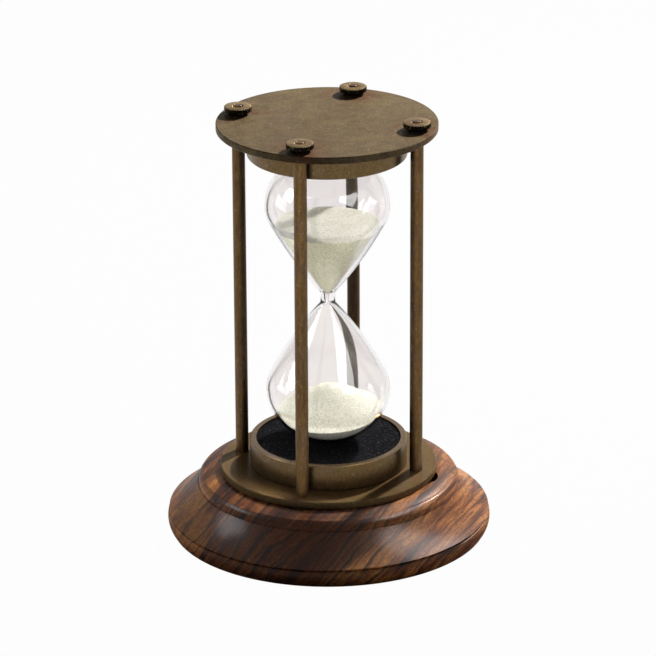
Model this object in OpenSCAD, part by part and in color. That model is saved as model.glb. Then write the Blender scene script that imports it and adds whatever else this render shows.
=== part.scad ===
// Desk hourglass. A brass frame holds one blown glass between two padded collars.
// The frame stands loose in four pockets of a turned wooden base and lifts off to be turned over.
// Millimetres, +Z up, origin at the middle of the felt under the base.

/* [Wooden base] */
// Height of the wooden base, from its foot to the seat of the frame
base_h = 30; // [27:0.5:40]
// Diameter of the foot
foot_d = 157.6; // [150:0.2:170]
// Diameter of the lip at the lower edge of the flare
lip_d = 160; // [154:0.2:176]
// Height of the band between the foot and the groove
band_h = 8.2; // [6:0.2:11]
// How far the band swells out between its edges
band_bow = 1.1; // [0.2:0.1:2]
// Width of the groove between the band and the lip
groove_w = 0.9; // [0.5:0.1:1.5]
// Depth of the groove
groove_depth = 0.8; // [0.3:0.1:1.5]
// Thickness of the lip above the groove
lip_h = 0.5; // [0.3:0.1:1.2]
// How far the flare is hollowed
flare_bow = 0.9; // [0.1:0.1:1.5]
// Width of the wooden ledge around the bottom plate
ledge_w = 11; // [9:0.5:16]
// Height of the rounded edge of the ledge
ledge_edge_h = 4.6; // [3:0.2:5]
// Fall of the ledge from the seat to its rounded edge
ledge_fall = 1.8; // [0.5:0.1:2.4]

/* [Brass frame] */
// Diameter of the top and bottom plates
plate_d = 108; // [104:0.5:114]
// Thickness of the plates
plate_t = 3.5; // [2.5:0.1:5]
// Bevel on the edges of the plates
plate_bevel = 0.4; // [0.2:0.1:0.8]
// Diameter of the columns
column_d = 6.4; // [5.5:0.1:7.5]
// Length of a column between the plates
column_len = 174.4; // [168:0.2:190]
// Distance from the edge of the plates in to the axis of a column
column_inset = 8.8; // [7.5:0.1:9.7]
// Gap between the columns and the collars that hold the glass
collar_gap = 3; // [2:0.1:5]
// Wall of the collars
collar_wall = 3; // [2:0.1:4]
// Height of the collars
collar_h = 12.9; // [10:0.1:15]

/* [Thumb nuts] */
// Diameter of the studs turned on the ends of the columns
stud_d = 4; // [3:0.1:4.5]
// Height of a stud end above its nut
stud_proud = 0.5; // [0.1:0.1:0.8]
// Diameter of the knurled head
nut_d = 13.6; // [12:0.1:15]
// Thickness of the knurled head
nut_head_h = 2.7; // [2:0.1:3.5]
// Diameter of the plain hub under the head
nut_hub_d = 9; // [7.5:0.1:10]
// Height of the hub
nut_hub_h = 1.3; // [0.8:0.1:2]
// Bevel of the head's edges
nut_bevel = 0.55; // [0.3:0.05:0.8]
// Number of ribs in the knurl
knurl_count = 32; // [24:1:40]
// Depth of the knurl
knurl_depth = 0.45; // [0.2:0.05:0.6]

/* [Glass] */
// Widest diameter of a bulb
bulb_d = 61.4; // [58:0.2:64]
// Height of the widest place above the middle of the neck
bulb_wide_h = 47.6; // [44:0.2:50]
// Radius of the bulb's shoulder, where it turns in towards the neck
shoulder_r = 15.4; // [12:0.2:20]
// Radius of the long flank between the shoulder and the neck
flank_r = 200; // [120:5:300]
// Diameter of the solid glass neck
neck_d = 7.8; // [6.5:0.1:9]
// Height of the neck
neck_h = 6; // [5.6:0.2:8]
// How far the neck is drawn in at its middle
neck_waist = 0.35; // [0.1:0.05:0.6]
// Thickness of the bulb's wall
glass_wall = 1.4; // [1:0.1:2]
// Diameter of the hole through the neck
orifice_d = 1.2; // [0.8:0.1:1.6]
// Length of the hole through the neck
orifice_len = 5; // [4:0.1:5.4]

/* [Sand] */
// Height of the sand's edge in the upper bulb, above the middle of the neck
upper_sand_h = 37.8; // [20:0.2:45]
// Depth of the hollow in the upper sand
upper_sand_dish = 1.6; // [0.4:0.1:5]
// Height of the sand's edge in the lower bulb, above the bulb's inner bottom
lower_sand_h = 14.6; // [8:0.2:22]
// Height of the heap above its edge
heap_h = 13.6; // [5:0.2:16]

/* [Felt and pads] */
// Thickness of the felt under the base
felt_t = 1.2; // [0.8:0.1:2]
// Diameter of the felt
felt_d = 146; // [130:1:150]
// How far the felt stands below the wood
felt_proud = 0.2; // [0.1:0.05:0.4]
// Depth of the pad's face below the collar's rim
pad_recess = 0.6; // [0.3:0.1:1.5]
// How far a bulb's end sits down into its pad
bulb_seat = 0.5; // [0.2:0.1:1]

/* [Clearances] */
// Play around a lower nut in its pocket
pocket_play = 4.2; // [2:0.1:4.5]
// Room under a lower stud end in its pocket
pocket_floor_play = 1.2; // [0.5:0.1:2]
// Play around a stud in a plate
stud_play = 0.1; // [0.05:0.05:0.3]
// Running play of a nut on its stud
nut_play = 0.05; // [0.02:0.01:0.1]
// Play around a pad in its collar
pad_play = 0.2; // [0.1:0.05:0.5]
// Play between a bulb's end and its pad
seat_play = 0.05; // [0.02:0.01:0.1]
// Play between the sand and the glass
sand_play = 0.1; // [0.05:0.05:0.3]
// Play around the felt in its recess
felt_play = 0.5; // [0.2:0.1:1]

/* [Hidden] */
$fn = 96;

// Levels, from the table up
wood_z = felt_proud;
seat_z = wood_z + base_h;
bottom_plate_top_z = seat_z + plate_t;
top_plate_z = bottom_plate_top_z + column_len;
neck_z = bottom_plate_top_z + column_len / 2;

// Brass frame
first_column_angle = -45;
column_count = 4;
column_circle_d = plate_d - 2 * column_inset;
collar_d = column_circle_d - column_d - 2 * collar_gap;
nut_h = nut_hub_h + nut_head_h;
stud_len = plate_t + nut_h + stud_proud;
stud_bevel = 0.4;
pad_d = collar_d - 2 * collar_wall - 2 * pad_play;
pad_t = collar_h - pad_recess;
collar_bevel = 0.4;

// Wooden base
pocket_d = nut_d + 2 * pocket_play;
pocket_depth = nut_h + stud_proud + pocket_floor_play;
ledge_d = plate_d + 2 * ledge_w;
seat_d = plate_d + 3;
edge_round = 1.6;
foot_round = 0.4;
step_h = 0.5;

// Glass
glass_half_h = column_len / 2 - pad_t + bulb_seat;
bulb_end_h = glass_half_h - bulb_wide_h;
over = 1;

// A point between a and b, swollen to the right of the way from a to b by bow at its middle.
function bow_point(a, b, bow, t) =
    let (way = b - a, side = [way.y, -way.x] / norm(way))
    a + way * t + side * bow * 4 * t * (1 - t);

// A swollen or hollowed line from a to b.
function bow_line(a, b, bow, steps) = [for (i = [0:steps]) bow_point(a, b, bow, i / steps)];

// Points of a circle's arc.
function arc(centre, r, from, to, steps) =
    [for (i = [0:steps]) let (angle = from + (to - from) * i / steps) centre + r * [cos(angle), sin(angle)]];

// Centre of the flank's circle, which runs through the neck's edge and touches the shoulder's circle.
function flank_centre(shoulder, r_shoulder, r_flank, neck) =
    let (
        way = neck - shoulder,
        reach = norm(way),
        dir = way / reach,
        apart = r_flank - r_shoulder,
        along = (apart * apart - r_flank * r_flank + reach * reach) / (2 * reach),
        across = sqrt(apart * apart - along * along)
    )
    shoulder + dir * along + [dir.y, -dir.x] * across;

// Half of a bulb's outline from the neck to the end, as [radius, height above the neck's middle].
// inset moves it inwards by that much, and neck is where the flank starts.
function bulb_curve(inset, neck) =
    let (
        r = bulb_d / 2 - inset,
        r_shoulder = shoulder_r - inset,
        r_flank = flank_r - inset,
        end_h = bulb_end_h - inset,
        shoulder = [r - r_shoulder, bulb_wide_h],
        centre = flank_centre(shoulder, r_shoulder, r_flank, neck),
        from_neck = neck - centre,
        from_shoulder = shoulder - centre,
        neck_angle = atan2(from_neck.y, from_neck.x),
        shoulder_angle = atan2(from_shoulder.y, from_shoulder.x)
    )
    concat(
        arc(centre, r_flank, neck_angle, shoulder_angle, 8),
        [for (i = [1:8]) let (a = shoulder_angle * (1 - i / 8)) shoulder + r_shoulder * [cos(a), sin(a)]],
        [for (i = [1:12]) let (a = 90 * i / 12) [i == 12 ? 0 : r * cos(a), bulb_wide_h + end_h * sin(a)]]
    );

outer_curve = bulb_curve(0, [neck_d / 2, neck_h / 2]);
inner_curve = bulb_curve(glass_wall, [orifice_d / 2, orifice_len / 2]);
sand_curve = bulb_curve(glass_wall + sand_play, [orifice_d / 2 - sand_play, orifice_len / 2 + sand_play]);

// Places something once at each column, or at one of them.
module at_column(i) {
    rotate([0, 0, first_column_angle + 360 / column_count * i])
        translate([column_circle_d / 2, 0, 0])
            children();
}

module at_columns() {
    for (i = [0:column_count - 1])
        at_column(i)
            children();
}

// Disc with bevelled edges, standing on z = 0.
module bevelled_disc(d, h, bevel) {
    r = d / 2;
    rotate_extrude()
        polygon([[0, 0], [r - bevel, 0], [r, bevel], [r, h - bevel], [r - bevel, h], [0, h]]);
}

module wooden_base() {
    foot_r = foot_d / 2;
    lip_r = lip_d / 2;
    ledge_r = ledge_d / 2;
    groove_z = band_h + groove_w;
    lip_z = groove_z + lip_h;
    flare_top_z = base_h - ledge_fall - ledge_edge_h - step_h;
    edge_z = base_h - ledge_fall;
    outline = concat(
        [[0, 0], [foot_r - foot_round, 0]],
        bow_line([foot_r, foot_round], [lip_r, band_h], band_bow, 8),
        [[lip_r - groove_depth, band_h + groove_w / 3], [lip_r - groove_depth, groove_z - groove_w / 3]],
        [[lip_r - 0.1, groove_z]],
        bow_line([lip_r - 0.1, lip_z], [ledge_r + step_h, flare_top_z], -flare_bow, 10),
        [[ledge_r, flare_top_z], [ledge_r, flare_top_z + step_h]],
        bow_line([ledge_r, flare_top_z + step_h], [ledge_r - edge_round, edge_z - edge_round / 2], 0.5, 6),
        bow_line([ledge_r - edge_round, edge_z - edge_round / 2], [ledge_r - 2 * edge_round, edge_z], 0.2, 4),
        bow_line([ledge_r - 2 * edge_round, edge_z], [seat_d / 2, base_h], 0.2, 6),
        [[0, base_h]]
    );
    color("saddlebrown")
        translate([0, 0, wood_z])
            difference() {
                rotate_extrude()
                    polygon(outline);
                at_columns()
                    translate([0, 0, base_h - pocket_depth])
                        cylinder(d = pocket_d, h = pocket_depth + over);
                translate([0, 0, -over])
                    cylinder(d = felt_d + 2 * felt_play, h = felt_t - felt_proud + over);
            }
}

module base_felt() {
    color("darkolivegreen")
        cylinder(d = felt_d, h = felt_t);
}

module plate(z) {
    color("darkkhaki")
        translate([0, 0, z])
            difference() {
                bevelled_disc(plate_d, plate_t, plate_bevel);
                at_columns()
                    translate([0, 0, -over])
                        cylinder(d = stud_d + 2 * stud_play, h = plate_t + 2 * over);
            }
}

module bottom_plate() {
    plate(seat_z);
}

module top_plate() {
    plate(top_plate_z);
}

module collar(z) {
    color("peru")
        translate([0, 0, z])
            difference() {
                bevelled_disc(collar_d, collar_h, collar_bevel);
                translate([0, 0, -over])
                    cylinder(d = collar_d - 2 * collar_wall, h = collar_h + 2 * over);
            }
}

module bottom_collar() {
    collar(bottom_plate_top_z);
}

module top_collar() {
    collar(top_plate_z - collar_h);
}

// The lower pad, with a dish that the bulb's end lies in.
module pad_shape() {
    color("dimgray")
        difference() {
            translate([0, 0, bottom_plate_top_z])
                cylinder(d = pad_d, h = pad_t);
            translate([0, 0, neck_z - seat_play])
                mirror([0, 0, 1])
                    bulb_solid(outer_curve);
        }
}

module bottom_pad() {
    pad_shape();
}

module top_pad() {
    translate([0, 0, 2 * neck_z])
        mirror([0, 0, 1])
            pad_shape();
}

// The solid inside one bulb's curve, above z = 0.
module bulb_solid(curve) {
    rotate_extrude()
        polygon(concat([[0, curve[0].y]], curve));
}

module glass_bulbs() {
    waist = bow_line([neck_d / 2, -neck_h / 2], [neck_d / 2, neck_h / 2], -neck_waist, 8);
    outer_down = [for (p = outer_curve) [p.x, -p.y]];
    inner_down = [for (p = inner_curve) [p.x, -p.y]];
    last = len(outer_curve) - 1;
    outline = concat(
        [for (i = [last:-1:1]) outer_down[i]],
        waist,
        [for (i = [1:last]) outer_curve[i]],
        [for (i = [last:-1:0]) inner_curve[i]],
        inner_down
    );
    color("lightblue", 0.4)
        translate([0, 0, neck_z])
            rotate_extrude()
                polygon(outline);
}

module sand_upper() {
    color("beige")
        translate([0, 0, neck_z])
            intersection() {
                bulb_solid(sand_curve);
                rotate_extrude()
                    polygon(concat(
                        [[0, 0], [bulb_d / 2, 0]],
                        bow_line([bulb_d / 2, upper_sand_h], [0, upper_sand_h - upper_sand_dish], -0.3, 6)
                    ));
            }
}

module sand_lower() {
    edge_z = lower_sand_h + glass_wall - glass_half_h;
    color("beige")
        translate([0, 0, neck_z])
            intersection() {
                mirror([0, 0, 1])
                    bulb_solid(sand_curve);
                rotate_extrude()
                    polygon(concat(
                        [[0, -glass_half_h], [bulb_d / 2, -glass_half_h]],
                        bow_line([bulb_d / 2, edge_z], [0, edge_z + heap_h], 0.8, 8)
                    ));
            }
}

module column(i) {
    color("sienna")
        at_column(i)
            union() {
                translate([0, 0, bottom_plate_top_z])
                    cylinder(d = column_d, h = column_len);
                translate([0, 0, bottom_plate_top_z - stud_len])
                    bevelled_disc(stud_d, 2 * stud_len + column_len, stud_bevel);
            }
}

// A thumb nut standing on z = 0 with its head up.
module nut_shape() {
    head_r = nut_d / 2;
    groove_r = head_r - knurl_depth;
    color("goldenrod")
        difference() {
            union() {
                cylinder(d = nut_hub_d, h = nut_hub_h + over / 2);
                translate([0, 0, nut_hub_h])
                    intersection() {
                        linear_extrude(nut_head_h)
                            polygon([
                                for (i = [0:2 * knurl_count - 1])
                                    let (a = 180 / knurl_count * i, r = i % 2 == 0 ? head_r : groove_r)
                                    [r * cos(a), r * sin(a)]
                            ]);
                        bevelled_disc(nut_d, nut_head_h, nut_bevel);
                    }
            }
            translate([0, 0, -over])
                cylinder(d = stud_d + 2 * nut_play, h = nut_h + 2 * over);
        }
}

module top_nut(i) {
    at_column(i)
        translate([0, 0, top_plate_z + plate_t])
            nut_shape();
}

module bottom_nut(i) {
    at_column(i)
        translate([0, 0, seat_z])
            mirror([0, 0, 1])
                nut_shape();
}

wooden_base();
base_felt();
bottom_plate();
bottom_collar();
bottom_pad();
glass_bulbs();
sand_upper();
sand_lower();
top_pad();
top_collar();
top_plate();
for (i = [0:column_count - 1]) {
    column(i);
    top_nut(i);
    bottom_nut(i);
}
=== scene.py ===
import bpy
import math
from mathutils import Matrix, Vector, noise


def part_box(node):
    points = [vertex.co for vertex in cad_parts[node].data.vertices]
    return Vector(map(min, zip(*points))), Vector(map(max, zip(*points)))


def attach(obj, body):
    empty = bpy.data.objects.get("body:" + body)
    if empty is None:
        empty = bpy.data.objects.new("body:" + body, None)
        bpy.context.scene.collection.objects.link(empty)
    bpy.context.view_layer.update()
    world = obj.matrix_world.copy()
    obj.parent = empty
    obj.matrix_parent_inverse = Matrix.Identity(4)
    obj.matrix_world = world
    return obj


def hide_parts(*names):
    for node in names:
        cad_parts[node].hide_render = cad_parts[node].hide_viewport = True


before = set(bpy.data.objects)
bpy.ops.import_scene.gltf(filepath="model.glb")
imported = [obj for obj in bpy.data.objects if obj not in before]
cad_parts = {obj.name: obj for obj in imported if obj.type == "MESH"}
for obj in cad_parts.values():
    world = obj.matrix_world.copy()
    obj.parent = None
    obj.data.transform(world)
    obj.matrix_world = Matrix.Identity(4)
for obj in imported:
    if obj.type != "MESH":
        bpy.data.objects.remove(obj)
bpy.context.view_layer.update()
scene = bpy.context.scene
mm = 0.001


# helpers for meshes

def clearSelection():
    if bpy.context.mode != "OBJECT":
        bpy.ops.object.mode_set(mode="OBJECT")
    bpy.ops.object.select_all(action="DESELECT")


def arc(centre, radius, start, end, steps):
    angles = [math.radians(start + (end - start) * i / steps) for i in range(steps + 1)]
    return [(centre[0] + radius * math.cos(a), centre[1] + radius * math.sin(a)) for a in angles]


def bowed(a, b, bow, steps):
    # a line from a to b that swells out to its right by bow
    way = Vector(b) - Vector(a)
    side = Vector((way.y, -way.x)).normalized()
    points = []
    for i in range(steps + 1):
        t = i / steps
        points.append(tuple(Vector(a) + way * t + side * bow * 4 * t * (1 - t)))
    return points


def roundOff(corners, steps=4):
    # corners are (radius, height, rounding); each rounded corner becomes a short arc
    points = []
    last = len(corners) - 1
    for i, (x, z, rounding) in enumerate(corners):
        corner = Vector((x, z))
        if not rounding or i in (0, last):
            points.append(tuple(corner))
            continue
        before = (Vector(corners[i - 1][:2]) - corner).normalized()
        after = (Vector(corners[i + 1][:2]) - corner).normalized()
        half = before.angle(after) / 2
        if half > math.radians(88):
            points.append(tuple(corner))
            continue
        centre = corner + (before + after).normalized() * rounding / math.sin(half)
        start = corner + before * rounding / math.tan(half) - centre
        end = corner + after * rounding / math.tan(half) - centre
        for k in range(steps + 1):
            points.append(tuple(centre + start.lerp(end, k / steps).normalized() * rounding))
    return points


def turnOnLathe(name, outline, segments, smoothAngle=35):
    # a single vertex is drawn along the outline, in millimetres, and spun round the Z axis
    clearSelection()
    bpy.ops.mesh.primitive_plane_add(size=mm)
    piece = bpy.context.object
    piece.name = name
    piece.data.name = name
    bpy.ops.object.mode_set(mode="EDIT")
    bpy.ops.mesh.select_mode(type="VERT")
    bpy.ops.mesh.select_all(action="SELECT")
    bpy.ops.mesh.merge(type="CENTER")
    bpy.ops.transform.translate(value=(outline[0][0] * mm, 0, outline[0][1] * mm))
    for a, b in zip(outline, outline[1:]):
        step = ((b[0] - a[0]) * mm, 0, (b[1] - a[1]) * mm)
        bpy.ops.mesh.extrude_region_move(TRANSFORM_OT_translate={"value": step})
    bpy.ops.mesh.select_all(action="SELECT")
    bpy.ops.mesh.spin(steps=segments, angle=math.tau, center=(0, 0, 0), axis=(0, 0, 1))
    bpy.ops.mesh.select_all(action="SELECT")
    bpy.ops.mesh.remove_doubles(threshold=0.004 * mm)
    bpy.ops.mesh.normals_make_consistent(inside=False)
    bpy.ops.object.mode_set(mode="OBJECT")
    bpy.ops.object.shade_smooth_by_angle(angle=math.radians(smoothAngle))
    return piece


def selectFaces(piece, wanted):
    bpy.ops.object.mode_set(mode="EDIT")
    bpy.ops.mesh.select_mode(type="FACE")
    bpy.ops.mesh.select_all(action="DESELECT")
    bpy.ops.object.mode_set(mode="OBJECT")
    for face in piece.data.polygons:
        face.select = wanted(face)
    bpy.ops.object.mode_set(mode="EDIT")


def selectVertices(piece, wanted):
    bpy.ops.object.mode_set(mode="EDIT")
    bpy.ops.mesh.select_mode(type="VERT")
    bpy.ops.mesh.select_all(action="DESELECT")
    bpy.ops.object.mode_set(mode="OBJECT")
    for vertex in piece.data.vertices:
        vertex.select = wanted(vertex.co)
    bpy.ops.object.mode_set(mode="EDIT")


def finishPiece(piece, material, body, slot, *nodes):
    piece.data.materials.clear()
    piece.data.materials.append(material)
    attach(piece, body)
    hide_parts(*nodes)


def boxMiddle(node):
    low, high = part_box(node)
    return (low + high) / 2


# helpers for materials

def tone(red, green, blue):
    # a colour as it is seen on a screen, 0 to 255, for a node's socket
    def linear(c):
        c /= 255
        return c / 12.92 if c <= 0.04045 else ((c + 0.055) / 1.055) ** 2.4
    return (linear(red), linear(green), linear(blue), 1)


def newMaterial(name):
    material = bpy.data.materials.new(name)
    material.use_nodes = True
    material.node_tree.nodes.clear()
    return material, material.node_tree


def addNode(tree, kind, inputs=None, **settings):
    node = tree.nodes.new("ShaderNode" + kind)
    for name, value in settings.items():
        setattr(node, name, value)
    for name, value in (inputs or {}).items():
        if isinstance(value, bpy.types.NodeSocket):
            tree.links.new(value, node.inputs[name])
        else:
            node.inputs[name].default_value = value
    return node


def math2(tree, operation, a, b=0.5, clamp=False):
    return addNode(tree, "Math", {0: a, 1: b}, operation=operation, use_clamp=clamp).outputs[0]


def ramp(tree, fac, *stops):
    node = addNode(tree, "ValToRGB", {"Fac": fac})
    elements = node.color_ramp.elements
    elements.remove(elements[1])
    elements[0].position, elements[0].color = stops[0]
    for place, colour in stops[1:]:
        elements.new(place).color = colour
    return node.outputs["Color"]


def level(tree, fac, low, high, fromLow=0.0, fromHigh=1.0):
    node = addNode(tree, "MapRange", {"Value": fac, "From Min": fromLow, "From Max": fromHigh,
                                      "To Min": low, "To Max": high})
    return node.outputs["Result"]


def mixColours(tree, fac, a, b, blend="MIX"):
    node = tree.nodes.new("ShaderNodeMix")
    node.data_type = "RGBA"
    node.blend_type = blend
    for socket, value in ((node.inputs[0], fac), (node.inputs[6], a), (node.inputs[7], b)):
        if isinstance(value, bpy.types.NodeSocket):
            tree.links.new(value, socket)
        else:
            socket.default_value = value
    return node.outputs[2]


def noiseAt(tree, vector, scale, detail=2.0, roughness=0.5, distortion=0.0):
    node = addNode(tree, "TexNoise", {"Vector": vector, "Scale": scale, "Detail": detail,
                                      "Roughness": roughness, "Distortion": distortion})
    return node.outputs["Fac"]


def stretched(tree, vector, scale, rotation=(0, 0, 0)):
    return addNode(tree, "Mapping", {"Vector": vector, "Scale": scale, "Rotation": rotation}).outputs[0]


def objectPlace(tree):
    return addNode(tree, "TexCoord").outputs["Object"]


def addBump(tree, height, strength, distance):
    return addNode(tree, "Bump", {"Height": height, "Strength": strength, "Distance": distance}).outputs["Normal"]


def finishShader(tree, shader):
    addNode(tree, "OutputMaterial", {"Surface": shader})


# camera

cameraSet = {
    "turn": -28.418,       # degrees round the object from its front
    "away": 1.91564,       # horizontal distance from the axis
    "height": 0.85346,
    "down": 21.36,         # degrees below level
    "roll": -0.275,
    "lens": 228.9,
    "sensor": 36.0,
}


def addCamera(c):
    turn = math.radians(c["turn"])
    down = math.radians(c["down"])
    roll = math.radians(c["roll"])
    away = Vector((math.sin(-turn), math.cos(-turn), 0))
    forward = away * math.cos(down) - Vector((0, 0, math.sin(down)))
    right = forward.cross(Vector((0, 0, 1))).normalized()
    up = right.cross(forward)
    rolledRight = right * math.cos(roll) + up * math.sin(roll)
    rolledUp = up * math.cos(roll) - right * math.sin(roll)
    data = bpy.data.cameras.new("camera")
    data.lens = c["lens"]
    data.sensor_width = c["sensor"]
    data.clip_end = 20
    camera = bpy.data.objects.new("camera", data)
    scene.collection.objects.link(camera)
    turned = Matrix((rolledRight, rolledUp, -forward)).transposed().to_4x4()
    camera.matrix_world = Matrix.Translation(-away * c["away"] + Vector((0, 0, c["height"]))) @ turned
    scene.camera = camera


addCamera(cameraSet)
print("camera placed")


# studio

studioSet = {
    "aim": (0, 0, 0.11),
    # side is degrees from the camera's right, counted towards the back; up is degrees above level
    "key": {"side": 53, "up": 36.5, "distance": 1.0, "size": (0.05, 0.05), "watts": 14.5, "colour": (1, 0.97, 0.94)},
    # the fills stand low, so they light upright surfaces and leave the shadows on level ones deep
    "left": {"side": 172, "up": 6, "distance": 1.1, "size": (0.6, 0.3), "watts": 2.6, "colour": (0.95, 0.97, 1)},
    "right": {"side": -8, "up": 6, "distance": 1.1, "size": (0.6, 0.3), "watts": 1.6, "colour": (1, 1, 1)},
    # light for the sand alone
    "sand": {"side": 246, "up": 4, "distance": 1.1, "size": (0.8, 0.4), "watts": 22, "colour": (1, 0.97, 0.7)},
    "heap": {"side": 240, "up": 48, "distance": 1.1, "size": (0.6, 0.4), "watts": 9, "colour": (1, 0.98, 0.8)},
    # these give gloss only: sheen and sky to the wood, strip to the columns, the others to glass and brass
    "sheen": {"side": 4, "up": 47, "distance": 1.0, "size": (1.1, 0.34), "watts": 21, "colour": (1, 0.97, 0.97)},
    "sky": {"side": 176, "up": 28, "distance": 1.0, "size": (0.36, 0.3), "watts": 4.6, "colour": (0.9, 0.94, 1)},
    "leftGloss": {"side": 184, "up": 29, "distance": 1.0, "size": (0.36, 0.42), "watts": 4, "colour": (1, 1, 1)},
    "rightGloss": {"side": -42, "up": 38, "distance": 1.0, "size": (0.5, 0.5), "watts": 5, "colour": (1, 1, 1),
                   "spin": 45},
    "strip": {"side": 262, "up": 3, "distance": 1.0, "size": (0.35, 0.6), "watts": 2.2, "colour": (1, 0.89, 0.82)},
    "worldDiffuse": 0.015,
    "throughGlass": 0.48,      # strength of the room as the sand sees it through the glass
    "ownShade": (0.08, 0.12),  # the floor close to the piece mirrors dark
    "floorGrey": 0.3,
    "floorWhite": 0.98,    # share of the floor that shows plain white, so the shadow stays faint
}


def studioPlace(side, up, distance):
    side = math.radians(side + cameraSet["turn"])
    up = math.radians(up)
    level = math.cos(up) * distance
    return Vector((math.cos(side) * level, math.sin(side) * level, math.sin(up) * distance))


def turnTo(thing, target):
    thing.rotation_euler = (target - thing.location).to_track_quat("-Z", "Y").to_euler()


def addLamp(name, s, glossy=True, matt=True):
    data = bpy.data.lights.new(name, "AREA")
    data.shape = "RECTANGLE"
    data.size, data.size_y = s["size"]
    data.energy = s["watts"]
    data.color = s["colour"]
    lamp = bpy.data.objects.new(name, data)
    scene.collection.objects.link(lamp)
    aim = Vector(studioSet["aim"])
    lamp.location = aim + studioPlace(s["side"], s["up"], s["distance"])
    turnTo(lamp, aim)
    lamp.rotation_euler.rotate_axis("Z", math.radians(s.get("spin", 0)))
    lamp.visible_glossy = glossy
    lamp.visible_diffuse = matt
    lamp.visible_camera = False
    return lamp


def lightOnly(lamp, *pieces):
    lit = bpy.data.collections.new("litBy" + lamp.name)
    for piece in pieces:
        lit.objects.link(piece)
    lamp.light_linking.receiver_collection = lit


def scatteredRay(tree, path):
    # 1 once a ray has left a matt surface
    return math2(tree, "GREATER_THAN", path["Diffuse Depth"], 0.5)


def mirroredRay(tree, path):
    # 1 for what the camera sees in a mirror, so that mirrors throw no light into the shadows
    mirrored = math2(tree, "GREATER_THAN", path["Glossy Depth"], 0.5)
    return math2(tree, "SUBTRACT", mirrored, scatteredRay(tree, path), True)


def addWorld(s):
    world = bpy.data.worlds.new("studio")
    scene.world = world
    world.use_nodes = True
    tree = world.node_tree
    tree.nodes.clear()
    path = addNode(tree, "LightPath").outputs
    plain = math2(tree, "MAXIMUM", path["Is Camera Ray"], path["Is Transmission Ray"])
    inside = level(tree, scatteredRay(tree, path), 1.0, s["throughGlass"])
    seen = addNode(tree, "Mix", {0: plain, 2: s["worldDiffuse"], 3: inside}).outputs[0]
    strength = addNode(tree, "Mix", {0: mirroredRay(tree, path), 2: seen, 3: 1.0})
    shader = addNode(tree, "Background", {"Strength": strength.outputs[0]}).outputs[0]
    addNode(tree, "OutputWorld", {"Surface": shader})


def addFloor(s):
    clearSelection()
    bpy.ops.mesh.primitive_plane_add(size=12, location=(0, 0, -0.2 * mm))
    floor = bpy.context.object
    floor.name = "floor"
    material, tree = newMaterial("floorWhite")
    path = addNode(tree, "LightPath").outputs
    grey = s["floorGrey"]
    matt = addNode(tree, "BsdfDiffuse", {"Color": (grey, grey, grey, 1)}).outputs[0]
    mirror = mirroredRay(tree, path)
    white = addNode(tree, "Emission", {"Strength": 1.0}).outputs[0]
    seen = math2(tree, "MAXIMUM", path["Is Camera Ray"], path["Is Transmission Ray"])
    seen = math2(tree, "MAXIMUM", seen, mirror)
    share = math2(tree, "MULTIPLY", seen, s["floorWhite"])
    place = objectPlace(tree)
    reach = addNode(tree, "VectorMath", {0: place}, operation="LENGTH").outputs["Value"]
    lit = level(tree, reach, 0.04, 1, s["ownShade"][0], s["ownShade"][1])
    mirrored = addNode(tree, "Emission", {"Strength": lit}).outputs[0]
    shown = addNode(tree, "MixShader", {0: mirror, 1: white, 2: mirrored}).outputs[0]
    finishShader(tree, addNode(tree, "MixShader", {0: share, 1: matt, 2: shown}).outputs[0])
    floor.data.materials.append(material)


def addStudio(s):
    addWorld(s)
    addFloor(s)
    addLamp("keyLamp", s["key"])
    addLamp("leftBox", s["left"], glossy=False)
    addLamp("rightBox", s["right"], glossy=False)


addStudio(studioSet)
scene.view_settings.view_transform = "Standard"
print("studio lit")


# finishes

grainSet = {
    "along": (0.781, 0.624, 0),          # direction of the fibres
    "across": (0.478, -0.598, -0.643),   # normal of the growth rings
    "light": tone(182, 116, 64),
    "gold": tone(208, 144, 82),
    "middle": tone(118, 65, 34),
    "dark": tone(26, 14, 10),
    "pore": tone(30, 18, 14),
    "lines": ((150, 4, 0.36, 1.0), (370, 9, 0.30, 0.8)),   # to the metre, wander, width, weight
    "heart": (-36, -20, 10, 26),         # where the dark heartwood begins, is full, fades and ends
    "heartTone": (0.42, 0.34, 0.34, 1),
}


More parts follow.
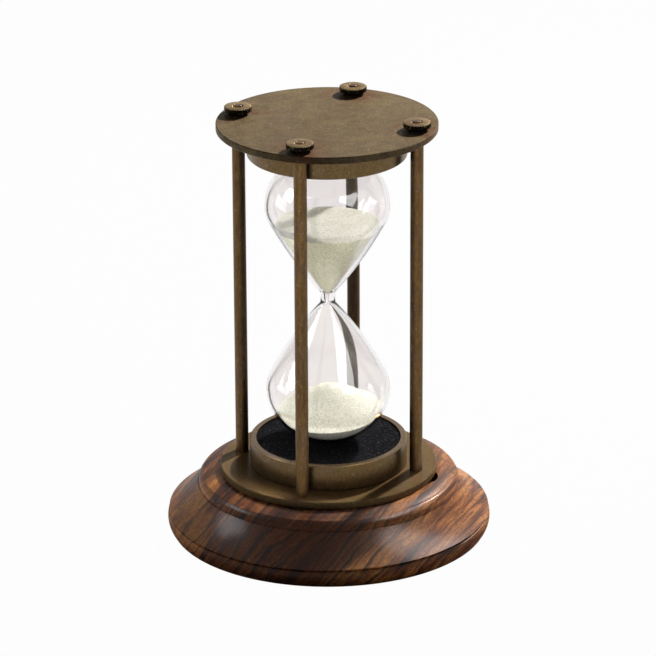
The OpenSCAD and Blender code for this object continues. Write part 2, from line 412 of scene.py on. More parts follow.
def lacqueredWood(g):
    material, tree = newMaterial("lacqueredWood")
    along = Vector(g["along"]).normalized()
    across = Vector(g["across"]).normalized()
    beside = across.cross(along)
    turn = Matrix((along, beside, across)).to_euler()
    grain = stretched(tree, objectPlace(tree), (1, 1, 1), turn)
    drift = noiseAt(tree, stretched(tree, grain, (7, 16, 30)), 1, 4, 0.55)
    wide = noiseAt(tree, stretched(tree, grain, (9, 34, 150)), 1, 5, 0.65)
    figure = noiseAt(tree, stretched(tree, grain, (45, 70, 110)), 1, 4, 0.6, 0.6)
    depth = addNode(tree, "SeparateXYZ", {0: grain}).outputs["Z"]
    body = ramp(tree, wide, (0.32, g["dark"]), (0.41, g["middle"]), (0.50, g["light"]), (0.60, g["gold"]),
                (0.74, g["middle"]))
    body = mixColours(tree, level(tree, figure, 0, 0.6, 0.52, 0.70), body, g["middle"])
    start, full, fade, end = (value * mm for value in g["heart"])
    bent = math2(tree, "ADD", depth, level(tree, drift, -14 * mm, 14 * mm))
    heart = math2(tree, "MULTIPLY", level(tree, bent, 0, 1, start, full), level(tree, bent, 1, 0, fade, end))
    body = mixColours(tree, heart, body, mixColours(tree, 1.0, body, g["heartTone"], "MULTIPLY"))
    # ring lines: sharp on one side, fading on the other, wandering with the drift
    for spacing, wander, width, weight in g["lines"]:
        rings = math2(tree, "ADD", math2(tree, "MULTIPLY", depth, spacing), math2(tree, "MULTIPLY", drift, wander))
        line = ramp(tree, math2(tree, "FRACT", rings), (0.0, (1, 1, 1, 1)), (width * 0.35, (0.8, 0.8, 0.8, 1)),
                    (width, (0, 0, 0, 1)), (0.96, (0, 0, 0, 1)), (1.0, (1, 1, 1, 1)))
        patch = noiseAt(tree, stretched(tree, grain, (8, 40, spacing * 0.6)), 1, 2)
        strength = math2(tree, "MULTIPLY", line, level(tree, patch, 0, weight, 0.36, 0.6))
        body = mixColours(tree, strength, body, g["dark"])
    fibre = noiseAt(tree, stretched(tree, grain, (120, 1300, 1300)), 1, 3, 0.65)
    body = mixColours(tree, 1.0, body, ramp(tree, fibre, (0.3, (0.55, 0.52, 0.5, 1)), (0.62, (1.1, 1.08, 1.06, 1))),
                      "MULTIPLY")
    pores = noiseAt(tree, stretched(tree, grain, (420, 1900, 1900)), 1, 1)
    pore = level(tree, pores, 0, 1, 0.60, 0.70)
    body = mixColours(tree, math2(tree, "MULTIPLY", pore, 0.7, True), body, g["pore"])
    rough = level(tree, fibre, 0.42, 0.56)
    normal = addBump(tree, math2(tree, "SUBTRACT", fibre, pore), 0.10, 0.10 * mm)
    shader = addNode(tree, "BsdfPrincipled", {
        "Base Color": body, "Roughness": rough, "Normal": normal, "Specular IOR Level": 0.08,
        "Coat Weight": 0.15, "Coat Roughness": 0.2, "Coat IOR": 1.5,
    })
    finishShader(tree, shader.outputs[0])
    return material


brassSet = {
    "olive": tone(140, 114, 74),
    "brown": tone(114, 86, 56),
    "pale": tone(170, 144, 98),
    "red": tone(128, 80, 56),
    "mauve": tone(140, 116, 98),
    "speck": tone(188, 180, 164),
    # a dark tone for pits and grime, and for painted shade on the columns' inner sides and on the nuts' knurled sides
    "grimeAndShade": tone(24, 17, 13),
    "columnCircle": 31.96,     # x and y of the columns' axes, without sign
    "halo": (6, 19),           # where the red round a nut is full and where it ends
    "innerShade": (-1.2, 2.6),   # the same for the painted shade on a column's inner side
}


def columnDistance(tree, place):
    # distance from the nearest column's axis, in metres
    parts = addNode(tree, "SeparateXYZ", {0: place}).outputs
    flat = addNode(tree, "CombineXYZ", {0: math2(tree, "ABSOLUTE", parts["X"]), 1: math2(tree, "ABSOLUTE", parts["Y"])})
    spot = (brassSet["columnCircle"] * mm, brassSet["columnCircle"] * mm, 0)
    return addNode(tree, "VectorMath", {0: flat.outputs[0], 1: spot}, operation="DISTANCE").outputs["Value"]


def columnInner(tree, place):
    # how far a point lies from its column's axis towards the middle of the frame
    parts = addNode(tree, "SeparateXYZ", {0: place}).outputs
    both = math2(tree, "ADD", math2(tree, "ABSOLUTE", parts["X"]), math2(tree, "ABSOLUTE", parts["Y"]))
    return math2(tree, "MULTIPLY", math2(tree, "SUBTRACT", 2 * brassSet["columnCircle"] * mm, both), math.sqrt(0.5))


def agedBrass(name, b, rough, bare, mottle, darker, gloss=0.2, cloudSize=260, streak=(1, 1, 1), halo=False,
              inner=False):
    material, tree = newMaterial(name)
    place = objectPlace(tree)
    drawn = stretched(tree, place, streak)
    cloud = level(tree, noiseAt(tree, drawn, cloudSize, 5, 0.8, 0.3), 0.5 - mottle / 2, 0.5 + mottle / 2)
    blotch = noiseAt(tree, place, 55, 5, 0.75, 0.3)
    grit = noiseAt(tree, drawn, 950, 3, 0.65)
    colour = ramp(tree, cloud, (0.30, b["brown"]), (0.5, b["olive"]), (0.72, b["pale"]))
    colour = mixColours(tree, level(tree, blotch, 0, 0.5, 0.45, 0.7), colour, b["mauve"])
    broad = noiseAt(tree, place, 17, 3, 0.6, 0.5)
    colour = mixColours(tree, level(tree, broad, 0, 0.55 * mottle, 0.5, 0.68), colour, b["brown"])
    if halo:
        near = level(tree, columnDistance(tree, place), 0.85, 0, b["halo"][0] * mm, b["halo"][1] * mm)
        patchy = level(tree, noiseAt(tree, place, 120, 3), 0, 1, 0.38, 0.62)
        colour = mixColours(tree, math2(tree, "MULTIPLY", near, patchy, True), colour, b["red"])
    low = (0.74 * darker, 0.73 * darker, 0.72 * darker, 1)
    high = (1.08 * darker, 1.08 * darker, 1.08 * darker, 1)
    colour = mixColours(tree, 1.0, colour, ramp(tree, grit, (0.3, low), (0.62, high)), "MULTIPLY")
    speck = level(tree, noiseAt(tree, place, 800, 2), 0, 0.45 if halo else 0.2, 0.64, 0.72)
    colour = mixColours(tree, speck, colour, b["speck"])
    pits = noiseAt(tree, stretched(tree, place, (1, 1, 1), (0.4, 0.2, 0.9)), 480, 2)
    pit = level(tree, pits, 0, 0.55 * mottle, 0.68, 0.76)
    colour = mixColours(tree, pit, colour, b["grimeAndShade"])
    if inner:
        # painted shade: the side that faces the glass is darkened for the shade it sits in
        start, full = (value * mm for value in b["innerShade"])
        dark = level(tree, columnInner(tree, place), 0, 0.8, start, full)
        colour = mixColours(tree, dark, colour, b["grimeAndShade"])
    roughness = level(tree, math2(tree, "ADD", cloud, grit), rough[0], rough[1], 0.7, 1.3)
    metal = level(tree, cloud, bare[0], bare[1], 0.35, 0.65)      # bare metal shows through the patina
    normal = addBump(tree, grit, 0.10, 0.06 * mm)
    shader = addNode(tree, "BsdfPrincipled", {"Base Color": colour, "Metallic": metal, "Roughness": roughness,
                                              "Specular IOR Level": gloss, "Normal": normal})
    finishShader(tree, shader.outputs[0])
    return material


knurlSet = {
    "rim": tone(180, 162, 124),
    # distances from the nut's axis in millimetres, from and to
    "bore": (2.2, 3.0), "worn": (5.6, 6.3), "groove": (6.62, 6.78),
}


def knurledBrass(b, k):
    # the knurled sides are painted dark, partly for grime in the knurl and partly as painted shade, with a few teeth
    # left bright as painted glints; it is darker round the bore, and the rims are worn bright
    material, tree = newMaterial("knurledBrass")
    place = objectPlace(tree)
    out = math2(tree, "DIVIDE", columnDistance(tree, place), mm)
    grit = noiseAt(tree, place, 900, 3, 0.6)
    colour = ramp(tree, noiseAt(tree, place, 160, 4, 0.6), (0.3, b["brown"]), (0.5, b["olive"]), (0.7, b["pale"]))
    colour = mixColours(tree, level(tree, out, 0, 0.5, *k["worn"]), colour, k["rim"])
    colour = mixColours(tree, level(tree, out, 0.85, 0, *k["bore"]), colour, b["grimeAndShade"])
    colour = mixColours(tree, 1.0, colour, ramp(tree, grit, (0.3, (0.72, 0.7, 0.68, 1)), (0.6, (1.05, 1.05, 1.05, 1))),
                        "MULTIPLY")
    facing = addNode(tree, "SeparateXYZ", {0: addNode(tree, "TexCoord").outputs["Normal"]}).outputs["Z"]
    side = level(tree, facing, 1, 0, 0.25, 0.6)
    groove = level(tree, out, 1, 0.85, *k["groove"])
    glint = level(tree, noiseAt(tree, place, 640, 1), 1, 0, 0.62, 0.67)     # painted glints: a few teeth are kept out of the painted dark
    sideGrimeAndShade = math2(tree, "MULTIPLY", math2(tree, "MULTIPLY", side, groove), glint)
    colour = mixColours(tree, sideGrimeAndShade, colour, b["grimeAndShade"])
    shader = addNode(tree, "BsdfPrincipled", {"Base Color": colour, "Metallic": level(tree, side, 0.45, 0),
                                              "Roughness": level(tree, grit, 0.26, 0.48), "Specular IOR Level": 0.05,
                                              "Normal": addBump(tree, grit, 0.12, 0.05 * mm)})
    finishShader(tree, shader.outputs[0])
    return material


def clearGlass():
    # shadow rays pass straight through, so lamps light the sand inside
    material, tree = newMaterial("clearGlass")
    path = addNode(tree, "LightPath").outputs
    glass = addNode(tree, "BsdfPrincipled", {
        "Base Color": (0.925, 0.897, 0.893, 1), "Roughness": 0.0, "IOR": 1.47, "Transmission Weight": 1.0,
    }).outputs[0]
    clear = addNode(tree, "BsdfTransparent", {"Color": (0.93, 0.93, 0.93, 1)}).outputs[0]
    finishShader(tree, addNode(tree, "MixShader", {0: path["Is Shadow Ray"], 1: glass, 2: clear}).outputs[0])
    return material


sandTones = {"grain": tone(203, 205, 195), "shade": tone(160, 162, 144), "fleck": tone(112, 112, 92)}


def fineSand(s):
    material, tree = newMaterial("fineSand")
    place = objectPlace(tree)
    grains = addNode(tree, "TexVoronoi", {"Vector": place, "Scale": 2600.0}).outputs
    soft = noiseAt(tree, place, 1200, 4, 0.8)
    patch = noiseAt(tree, place, 110, 4, 0.6)
    colour = ramp(tree, soft, (0.36, s["shade"]), (0.56, s["grain"]))
    colour = mixColours(tree, level(tree, patch, 0.0, 0.35, 0.45, 0.7), colour, s["shade"])
    fleck = level(tree, noiseAt(tree, place, 1500, 1), 0, 0.6, 0.64, 0.72)
    colour = mixColours(tree, fleck, colour, s["fleck"])
    height = math2(tree, "ADD", grains["Distance"], soft)
    shader = addNode(tree, "BsdfPrincipled", {
        "Base Color": colour, "Roughness": 0.85, "Specular IOR Level": 0.3,
        "Normal": addBump(tree, height, 0.7, 0.42 * mm),
    })
    finishShader(tree, shader.outputs[0])
    return material


def flockedFoam():
    # black foam with a short grey nap
    material, tree = newMaterial("flockedFoam")
    place = objectPlace(tree)
    nap = noiseAt(tree, place, 1300, 3, 0.7)
    cell = noiseAt(tree, place, 420, 4, 0.65)
    colour = ramp(tree, nap, (0.46, tone(9, 9, 11)), (0.60, tone(26, 26, 31)), (0.72, tone(112, 112, 122)))
    colour = mixColours(tree, level(tree, cell, 0, 0.5, 0.4, 0.65), colour, tone(9, 9, 11))
    shader = addNode(tree, "BsdfPrincipled", {
        "Base Color": colour, "Roughness": 0.95, "Specular IOR Level": 0.05,
        "Normal": addBump(tree, math2(tree, "ADD", nap, cell), 0.8, 0.3 * mm),
    })
    finishShader(tree, shader.outputs[0])
    return material


def greenFelt():
    material, tree = newMaterial("greenFelt")
    place = objectPlace(tree)
    fuzz = noiseAt(tree, place, 900, 4, 0.7, 1.2)
    mat = noiseAt(tree, place, 90, 3, 0.6)
    colour = ramp(tree, fuzz, (0.3, tone(24, 48, 34)), (0.6, tone(42, 78, 56)), (0.8, tone(70, 104, 80)))
    colour = mixColours(tree, level(tree, mat, 0, 0.35, 0.4, 0.7), colour, tone(30, 58, 42))
    shader = addNode(tree, "BsdfPrincipled", {
        "Base Color": colour, "Roughness": 0.95, "Sheen Weight": 0.3, "Specular IOR Level": 0.1,
        "Normal": addBump(tree, fuzz, 0.7, 0.25 * mm),
    })
    finishShader(tree, shader.outputs[0])
    return material


wood = lacqueredWood(grainSet)
plateSet = {**brassSet, "olive": tone(144, 127, 94), "brown": tone(122, 102, 76)}      # duller than the turned brass
plateBrass = agedBrass("plateBrass", plateSet, rough=(0.34, 0.46), bare=(0.0, 0.12), mottle=0.95, halo=True,
                        darker=0.84, gloss=0.02, cloudSize=150)
# painted shade: the lower plate's brass is made darker than the top plate's, for the shade the lower plate stands in
shadedLowPlateBrass = agedBrass("shadedLowPlateBrass", brassSet, rough=(0.20, 0.28), bare=(0.02, 0.2), mottle=0.5, darker=0.73,
                          gloss=0.02)
collarBrass = agedBrass("collarBrass", brassSet, rough=(0.26, 0.36), bare=(0.8, 0.95), mottle=0.4, darker=0.56)
lowCollarBrass = agedBrass("lowCollarBrass", brassSet, rough=(0.26, 0.36), bare=(0.8, 0.95), mottle=0.4, darker=0.56)
rodSet = {**brassSet, "olive": tone(148, 114, 68), "pale": tone(176, 142, 94)}      # the rods are a warmer brass
# inner=True paints shade on the side of each column that faces the glass
columnBrass = agedBrass("columnBrass", rodSet, streak=(1, 1, 0.3), rough=(0.36, 0.46), bare=(0.65, 0.9),
                        mottle=0.6, inner=True, darker=0.5)
nutBrass = knurledBrass(brassSet, knurlSet)
glass = clearGlass()
sand = fineSand(sandTones)
foam = flockedFoam()
felt = greenFelt()
print("finishes mixed")


# wooden base and its felt

baseSet = {
    "footRadius": 78.8, "lipRadius": 79.9, "bandTop": 8.4, "bandBow": 1.1,
    "grooveRadius": 79.2, "grooveTop": 9.3, "lipTop": 9.8, "flareBow": -0.9,
    "ledgeRadius": 65.0, "step": 0.5, "flareTop": 23.3, "edgeTop": 28.4, "edgeRound": 1.6,
    "seatRadius": 55.5, "feltRecess": 73.5, "recessTop": 1.2,
    "pocketRadius": 11.0, "pocketSpare": 1.2, "cutterLength": 12, "smoothAngle": 30,
    "segments": 256,
}


def baseOutline(b, low, high):
    ledge = b["ledgeRadius"]
    edge = ledge - b["edgeRound"]
    points = [(0, b["recessTop"]), (b["feltRecess"], b["recessTop"]), (b["feltRecess"], low),
              (b["footRadius"] - 0.4, low), (b["footRadius"] - 0.1, low + 0.12)]
    points += bowed((b["footRadius"], low + 0.4), (b["lipRadius"] + 0.1, b["bandTop"]), b["bandBow"], 14)
    points += [(b["lipRadius"] - 0.15, b["bandTop"] + 0.12), (b["grooveRadius"], b["bandTop"] + 0.3),
               (b["grooveRadius"], b["grooveTop"] - 0.3), (b["lipRadius"] - 0.2, b["grooveTop"]),
               (b["lipRadius"], b["grooveTop"] + 0.12)]
    points += bowed((b["lipRadius"] - 0.02, b["lipTop"] - 0.05), (ledge + b["step"], b["flareTop"]), b["flareBow"], 20)
    points += [(ledge + 0.05, b["flareTop"] + 0.02)]
    points += bowed((ledge, b["flareTop"] + b["step"]), (edge, b["edgeTop"] - b["edgeRound"] / 2), 0.5, 10)
    points += bowed((edge, b["edgeTop"] - b["edgeRound"] / 2), (edge - b["edgeRound"], b["edgeTop"]), 0.2, 5)[1:]
    points += bowed((edge - b["edgeRound"], b["edgeTop"]), (b["seatRadius"], high), 0.2, 6)[1:]
    points += [(b["seatRadius"] - 1, high), (0, high)]
    return points


def makeTurnedBase(b):
    low, high = (corner.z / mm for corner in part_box("wooden_base"))
    piece = turnOnLathe("turnedBase", baseOutline(b, low, high), b["segments"], b["smoothAngle"])
    # the flat seat becomes one face before the pockets are bored
    selectFaces(piece, lambda f: f.normal.z > 0.999 and abs(f.center.z - high * mm) < 0.01 * mm)
    bpy.ops.mesh.dissolve_faces()
    bpy.ops.object.mode_set(mode="OBJECT")
    cutters = []
    for k in range(1, 5):
        middle = boxMiddle("bottom_nut_%d" % k)
        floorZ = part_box("column_%d" % k)[0].z - b["pocketSpare"] * mm
        depth = b["cutterLength"] * mm
        clearSelection()
        bpy.ops.mesh.primitive_cylinder_add(vertices=96, radius=b["pocketRadius"] * mm, depth=depth,
                                            location=(middle.x, middle.y, floorZ + depth / 2))
        cutters.append(bpy.context.object)
    for cutter in cutters:
        clearSelection()
        piece.select_set(True)
        bpy.context.view_layer.objects.active = piece
        bore = piece.modifiers.new("pocket", "BOOLEAN")
        bore.operation = "DIFFERENCE"
        bore.solver = "EXACT"
        bore.object = cutter
        bpy.ops.object.modifier_apply(modifier=bore.name)
        bpy.data.objects.remove(cutter)
    bpy.ops.object.shade_smooth_by_angle(angle=math.radians(b["smoothAngle"]))
    finishPiece(piece, wood, "base", "wood", "wooden_base")
    return piece


feltSet = {"edgeRound": 0.35, "wander": 0.12, "wanderSize": 160, "segments": 160}


def makeFelt(f):
    low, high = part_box("base_felt")
    radius = high.x / mm
    bottom, top = low.z / mm, high.z / mm
    outline = roundOff([(0, bottom, 0), (radius, bottom, f["edgeRound"]), (radius, top, f["edgeRound"]), (0, top, 0)])
    piece = turnOnLathe("feltDisc", outline, f["segments"], 40)
    for vertex in piece.data.vertices:
        # the cut edge wanders a little
        out = Vector((vertex.co.x, vertex.co.y))
        if out.length > (radius - 1) * mm:
            wander = noise.noise(vertex.co * f["wanderSize"]) * f["wander"] * mm
            vertex.co.x -= out.normalized().x * abs(wander)
            vertex.co.y -= out.normalized().y * abs(wander)
    finishPiece(piece, felt, "base", "felt", "base_felt")
    return piece


base = makeTurnedBase(baseSet)
makeFelt(feltSet)
for lampName in ("sheen", "sky"):
    lightOnly(addLamp(lampName + "Lamp", studioSet[lampName], matt=False), base)
print("base turned")


# blown glass

glassSet = {
    "wideHeight": 47.6, "shoulderRadius": 15.4, "flankRadius": 200.0,
    "neckRadius": 3.9, "neckHalf": 3.0, "waist": 0.35,
    "wall": 1.4, "holeRadius": 0.6, "holeHalf": 2.5,
    "segments": 144,
}


def bulbCurve(g, size, inset, neck):
    # half of a bulb's outline from the neck to the end, as (radius, height above the neck's middle)
    bulbRadius, halfHeight = size
    wide = bulbRadius - inset
    shoulderRadius = g["shoulderRadius"] - inset
    flankRadius = g["flankRadius"] - inset
    endHeight = halfHeight - g["wideHeight"] - inset
    shoulder = Vector((wide - shoulderRadius, g["wideHeight"]))
    way = Vector(neck) - shoulder
    reach = way.length
    along = way / reach
    apart = flankRadius - shoulderRadius
    forth = (apart ** 2 - flankRadius ** 2 + reach ** 2) / (2 * reach)
    aside = math.sqrt(apart ** 2 - forth ** 2)
    centre = shoulder + along * forth + Vector((along.y, -along.x)) * aside
    fromNeck = Vector(neck) - centre
    fromShoulder = shoulder - centre
    neckAngle = math.degrees(math.atan2(fromNeck.y, fromNeck.x))
    shoulderAngle = math.degrees(math.atan2(fromShoulder.y, fromShoulder.x))
    points = arc(centre, flankRadius, neckAngle, shoulderAngle, 22)
    points += arc(shoulder, shoulderRadius, shoulderAngle, 0, 16)[1:]
    for i in range(1, 25):
        a = math.pi / 2 * i / 24
        points.append((0 if i == 24 else wide * math.cos(a), g["wideHeight"] + endHeight * math.sin(a)))
    return points


def glassSize():
    low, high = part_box("glass_bulbs")
    return high.x / mm, (high.z - low.z) / 2 / mm


def makeGlass(g):
    middle = boxMiddle("glass_bulbs").z / mm
    size = glassSize()
    outer = bulbCurve(g, size, 0, (g["neckRadius"], g["neckHalf"]))
    inner = bulbCurve(g, size, g["wall"], (g["holeRadius"], g["holeHalf"]))
    waist = bowed((g["neckRadius"], -g["neckHalf"]), (g["neckRadius"], g["neckHalf"]), -g["waist"], 10)
    skin = [(x, -z) for x, z in reversed(outer)][:-1] + waist + outer[1:]
    hollow = [(x, -z) for x, z in reversed(inner)] + inner
    outside = turnOnLathe("blownGlass", [(x, z + middle) for x, z in skin], g["segments"], 60)
    inside = turnOnLathe("glassHollow", [(x, z + middle) for x, z in hollow], g["segments"], 60)
    bpy.ops.object.mode_set(mode="EDIT")
    bpy.ops.mesh.select_all(action="SELECT")
    bpy.ops.mesh.flip_normals()
    bpy.ops.object.mode_set(mode="OBJECT")
    clearSelection()
    inside.select_set(True)
    outside.select_set(True)
    bpy.context.view_layer.objects.active = outside
    bpy.ops.object.join()
    bpy.ops.object.shade_smooth()
    finishPiece(outside, glass, "frame", "glass", "glass_bulbs")
    return outside


bulbs = makeGlass(glassSet)
print("glass blown")


# sand

sandSet = {
    "play": 0.1, "segments": 180, "rings": 34,
    "upperEdge": 37.8, "upperDish": 1.6, "upperRipple": 0.35,
    "lowerEdge": -60.0, "lowerPeak": -44.4, "tilt": 2.3, "tiltSide": 60, "apron": 0.80, "apronSlope": 0.10,
    "frontSide": -115, "ripple": 0.30, "peakDrop": 1.6, "peakWidth": 0.13, "flankSwell": 0.5,
}


def wallRadius(curve, height):
    # radius of a curve at a height, both above the neck's middle
    for (r0, z0), (r1, z1) in zip(curve, curve[1:]):
        if z0 <= height <= z1:
            return r0 + (r1 - r0) * (height - z0) / max(z1 - z0, 1e-9)
    return curve[-1][0]


def sandWall(g, s):
    hole = (g["holeRadius"] - s["play"], g["holeHalf"] + s["play"])
    return bulbCurve(g, glassSize(), g["wall"] + s["play"], hole)


def makeUpperSand(g, s):
    middle = boxMiddle("glass_bulbs").z / mm
    curve = sandWall(g, s)
    edge = s["upperEdge"]
    rim = wallRadius(curve, edge)
    wall = [(0, curve[0][1])] + [p for p in curve if p[1] < edge - 0.5] + [(rim, edge)]
    top = []
    for i in range(1, s["rings"] + 1):
        out = 1 - i / s["rings"]
        top.append((rim * out, edge - s["upperDish"] * (1 - out ** 2.4)))
    piece = turnOnLathe("sandUpper", [(x, z + middle) for x, z in wall + top], s["segments"], 50)
    for vertex in piece.data.vertices:
        out = math.hypot(vertex.co.x, vertex.co.y) / mm
        if vertex.co.z / mm > middle + edge - s["upperDish"] - 0.1 and out < rim - 0.3:
            soft = min(1, (rim - out) / 5)
            lumps = noise.noise(vertex.co * 90) + 0.5 * noise.noise(vertex.co * 260 + Vector((3, 7, 1)))
            vertex.co.z += lumps * s["upperRipple"] * soft * mm
    finishPiece(piece, sand, "frame", "sand", "sand_upper")
    return piece


def makeSandHeap(g, s):
    middle = boxMiddle("glass_bulbs").z / mm
    curve = sandWall(g, s)
    edge = s["lowerEdge"]
    rim = wallRadius(curve, -edge)
    floorZ = -curve[-1][1]
    wall = [(x, -z) for x, z in reversed(curve) if -z < edge - 0.3] + [(rim, edge)]
    top = [(rim * (1 - i / s["rings"]), edge) for i in range(1, s["rings"] + 1)]
    piece = turnOnLathe("sandHeap", [(x, z + middle) for x, z in wall + top], s["segments"], 50)
    tiltTo = math.radians(s["tiltSide"] + cameraSet["turn"])
    front = math.radians(s["frontSide"] + cameraSet["turn"])
    for vertex in piece.data.vertices:
        x, y, z = vertex.co / mm
        z -= middle
        out = math.hypot(x, y)
        turn = math.atan2(y, x)
        edgeHere = edge + s["tilt"] * math.cos(turn - tiltTo)
        if z < edge - 0.01:
            # the wall keeps to the glass, up to the tilted edge
            z = floorZ + (z - floorZ) * (edgeHere - floorZ) / (edge - floorZ)
            newOut = wallRadius(curve, -z)
        else:
            share = out / rim
            newOut = share * wallRadius(curve, -edgeHere)
            facing = max(0, math.cos(turn - front)) ** 1.5
            foot = 1 - (1 - s["apron"]) * facing
            height = s["lowerPeak"] - edge
            apronRise = s["apronSlope"] * (1 - foot) * rim
            if share < foot:
                climb = 1 - share / foot
                z = edge + apronRise + (height - apronRise) * climb
                z -= s["peakDrop"] * math.exp(-(share / s["peakWidth"]) ** 2)
                z += s["flankSwell"] * math.sin(math.pi * climb)
            else:
                z = edge + apronRise * (1 - share) / max(1 - foot, 0.001)
            z += (edgeHere - edge) * share ** 1.3
            soft = min(1, (1 - share) * 6)
            lumps = noise.noise(vertex.co * 110) + 0.4 * noise.noise(vertex.co * 300 + Vector((5, 2, 9)))
            z += lumps * s["ripple"] * soft
        scaleOut = newOut / out if out > 0.001 else 1
        vertex.co = Vector((x * scaleOut, y * scaleOut, z + middle)) * mm
    finishPiece(piece, sand, "frame", "sand", "sand_lower")
    return piece


# the sand's own lamps stand for the light that the glass and the grains scatter about
lightOnly(addLamp("sandBox", studioSet["sand"], glossy=False), makeUpperSand(glassSet, sandSet))
lightOnly(addLamp("heapBox", studioSet["heap"], glossy=False), makeSandHeap(glassSet, sandSet))
print("sand poured")


# pads

padSet = {
    "footRound": 0.3, "edgeRound": 0.6, "crown": 0.25, "seatPlay": 0.06,
    "fuzz": 0.06, "fuzzSize": 1.1, "segments": 144, "rings": 40,
}


def makePad(name, node, p, g, upsideDown):
    low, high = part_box(node)
    radius = high.x / mm
    middle = boxMiddle("glass_bulbs").z / mm
    bottom, top = low.z / mm, high.z / mm
    if upsideDown:
        bottom, top = 2 * middle - top, 2 * middle - low.z / mm
    bulb = bulbCurve(g, glassSize(), 0, (g["neckRadius"], g["neckHalf"]))
    outline = [(0, bottom, 0), (radius, bottom, p["footRound"]), (radius, top - 0.02, p["edgeRound"])]
    outline += [(radius * (1 - i / p["rings"]), top, 0) for i in range(1, p["rings"] + 1)]
    piece = turnOnLathe(name, roundOff(outline), p["segments"], 50)
    for vertex in piece.data.vertices:
        x, y, z = vertex.co / mm
        out = math.hypot(x, y)
        if z > top - 0.05:
            # pressed in under the bulb, with the foam standing up round it
            bulbHere = [b for b in bulb if b[0] >= out]
            press = middle - p["seatPlay"] - bulbHere[-1][1] if bulbHere else top
            z = min(top - p["crown"] * (out / radius) ** 4, press)
            fuzz = noise.noise(Vector((x, y, 0)) * p["fuzzSize"]) * p["fuzz"]
            if z > top - p["crown"] - 0.01 and out < radius - 1:
                z += min(0, fuzz)
        vertex.co.z = (2 * middle - z if upsideDown else z) * mm
    if upsideDown:
        bpy.ops.object.mode_set(mode="EDIT")
        bpy.ops.mesh.select_all(action="SELECT")
        bpy.ops.mesh.normals_make_consistent(inside=False)
        bpy.ops.object.mode_set(mode="OBJECT")
    finishPiece(piece, foam, "frame", "pad", node)
    return piece


makePad("lowerPad", "bottom_pad", padSet, glassSet, False)
makePad("upperPad", "top_pad", padSet, glassSet, True)
print("pads seated")


# thumb nuts

nutSet = {
    "radius": 6.8, "head": 2.7, "hubRadius": 4.5, "hub": 1.3, "rim": 0.42, "rimIn": 0.5,
    "bore": 2.05, "boreEdge": 0.2, "sinkOut": 0.85, "sinkIn": 0.25, "sinkDepth": 0.35, "hubRound": 0.1,
    "teeth": 34, "rows": 4, "toothDepth": 0.42, "turnEach": 37, "smoothAngle": 28,
}


def modelNut(n):
    # head up, standing on z = 0 at the origin
    clearSelection()
    around = 2 * n["teeth"]
    headLow, headHigh = n["hub"] + n["rim"], n["hub"] + n["head"] - n["rim"]
    bpy.ops.mesh.primitive_cylinder_add(vertices=around, radius=n["radius"] * mm, depth=(headHigh - headLow) * mm,
                                        location=(0, 0, (headLow + headHigh) / 2 * mm))
    nut = bpy.context.object
    nut.name = nut.data.name = "knurledNut"
    bpy.ops.object.transform_apply(location=True, rotation=True, scale=True)
    # upright edges are cut into rows for the knurl
    bpy.ops.object.mode_set(mode="EDIT")
    bpy.ops.mesh.select_mode(type="EDGE")
    bpy.ops.mesh.select_all(action="DESELECT")
    bpy.ops.object.mode_set(mode="OBJECT")
    corners = nut.data.vertices
    for edge in nut.data.edges:
        a, b = (corners[i].co for i in edge.vertices)
        edge.select = abs(a.z - b.z) > 0.5 * mm
    bpy.ops.object.mode_set(mode="EDIT")
    bpy.ops.mesh.subdivide(number_cuts=n["rows"])
    # every second vertex, staggered from row to row, is pressed in
    rowHeight = (headHigh - headLow) / (n["rows"] + 1)

    def pressedIn(place):
        turn = math.atan2(place.x, place.y) / math.tau * around
        row = (place.z / mm - headLow) / rowHeight
        return (round(turn) + round(row)) % 2 == 1

    selectVertices(nut, pressedIn)
    inward = (n["radius"] - n["toothDepth"]) / n["radius"]
    bpy.ops.transform.resize(value=(inward, inward, 1), center_override=(0, 0, 0))
    faceEnds(nut, n, headHigh, 1)
    faceEnds(nut, n, headLow, -1)
    # the bore joins the two ends
    selectFaces(nut, lambda f: len(f.vertices) > 8)
    bpy.ops.mesh.bridge_edge_loops()
    bpy.ops.mesh.select_all(action="SELECT")
    bpy.ops.mesh.normals_make_consistent(inside=False)
    bpy.ops.object.mode_set(mode="OBJECT")
    bpy.ops.object.shade_smooth_by_angle(angle=math.radians(n["smoothAngle"]))
    return nut


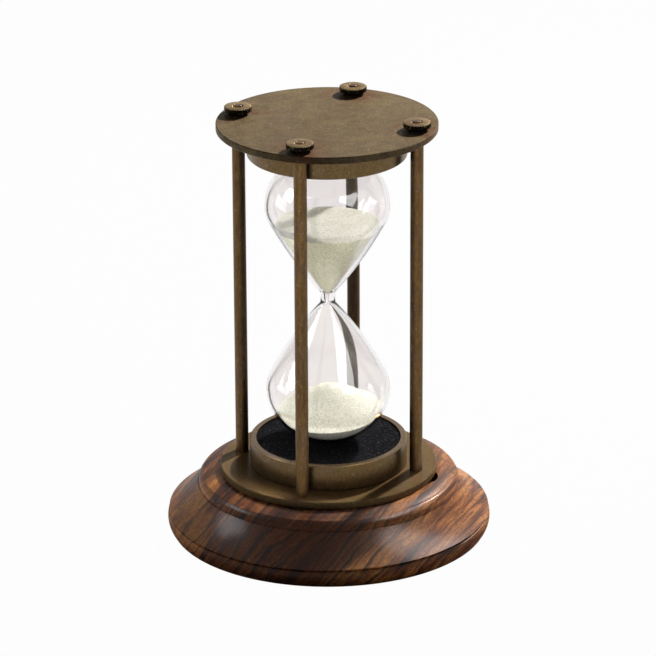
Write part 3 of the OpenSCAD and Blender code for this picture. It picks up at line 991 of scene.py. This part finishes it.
def faceEnds(nut, n, height, up):
    # worked from the end face in: a worn rim, a flat, the hub below, then the bore's edge
    def endFace(face):
        return len(face.vertices) > 8 and face.normal.z * up > 0.9

    def grow(radius, rise):
        bpy.ops.mesh.extrude_region_move(TRANSFORM_OT_translate={"value": (0, 0, rise * up * mm)})
        share = radius / grow.radius
        bpy.ops.transform.resize(value=(share, share, 1), center_override=(0, 0, 0))
        grow.radius = radius

    selectFaces(nut, endFace)
    grow.radius = n["radius"]
    grow(n["radius"] - 0.12, 0.10)
    grow(n["radius"] - n["rimIn"] * 0.6, n["rim"] - 0.18)
    grow(n["radius"] - n["rimIn"], 0.08)
    if up > 0:
        grow(n["bore"] + n["sinkOut"], 0.0)
        grow(n["bore"] + n["sinkIn"], -n["sinkDepth"])
    else:
        grow(n["hubRadius"] + n["hubRound"], 0.0)
        grow(n["hubRadius"], n["hubRound"])
        grow(n["hubRadius"], n["hub"] - 2 * n["hubRound"])
        grow(n["hubRadius"] - n["hubRound"], n["hubRound"])
        grow(n["bore"] + n["boreEdge"], 0.0)
    grow(n["bore"], -n["boreEdge"])


def makeNuts(n):
    model = modelNut(n)
    for where, flip in (("top", False), ("bottom", True)):
        for k in range(1, 5):
            node = "%s_nut_%d" % (where, k)
            low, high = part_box(node)
            spot = boxMiddle(node)
            copy = bpy.data.objects.new("%sNut%d" % (where, k), model.data.copy())
            scene.collection.objects.link(copy)
            turn = Matrix.Rotation(math.radians(n["turnEach"] * k), 4, "Z")
            if flip:
                turn = turn @ Matrix.Rotation(math.pi, 4, "X")
            seat = high.z if flip else low.z
            copy.data.transform(Matrix.Translation((spot.x, spot.y, seat)) @ turn)
            finishPiece(copy, nutBrass, node, "nut_brass", node)
    bpy.data.objects.remove(model)


makeNuts(nutSet)
print("nuts turned")


# finishes of the plain brass pieces

def dressFrame():
    for node, material in (("bottom_plate", shadedLowPlateBrass), ("top_plate", plateBrass),
                           ("bottom_collar", lowCollarBrass), ("top_collar", collarBrass)):
        dress(node, material)
    for k in range(1, 5):
        dress("column_%d" % k, columnBrass)


def dress(node, material):
    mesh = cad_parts[node].data
    if not mesh.materials:
        mesh.materials.append(material)
    for i in range(len(mesh.materials)):
        mesh.materials[i] = material


dressFrame()
columns = [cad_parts["column_%d" % k] for k in range(1, 5)]
lightOnly(addLamp("stripLamp", studioSet["strip"], matt=False), *columns)
collars = [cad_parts[node] for node in ("bottom_collar", "top_collar")]
lightOnly(addLamp("leftGloss", studioSet["leftGloss"], matt=False), bulbs, *columns, *collars)
lightOnly(addLamp("rightGloss", studioSet["rightGloss"], matt=False), bulbs, *columns, collars[0])
print("brass dressed")
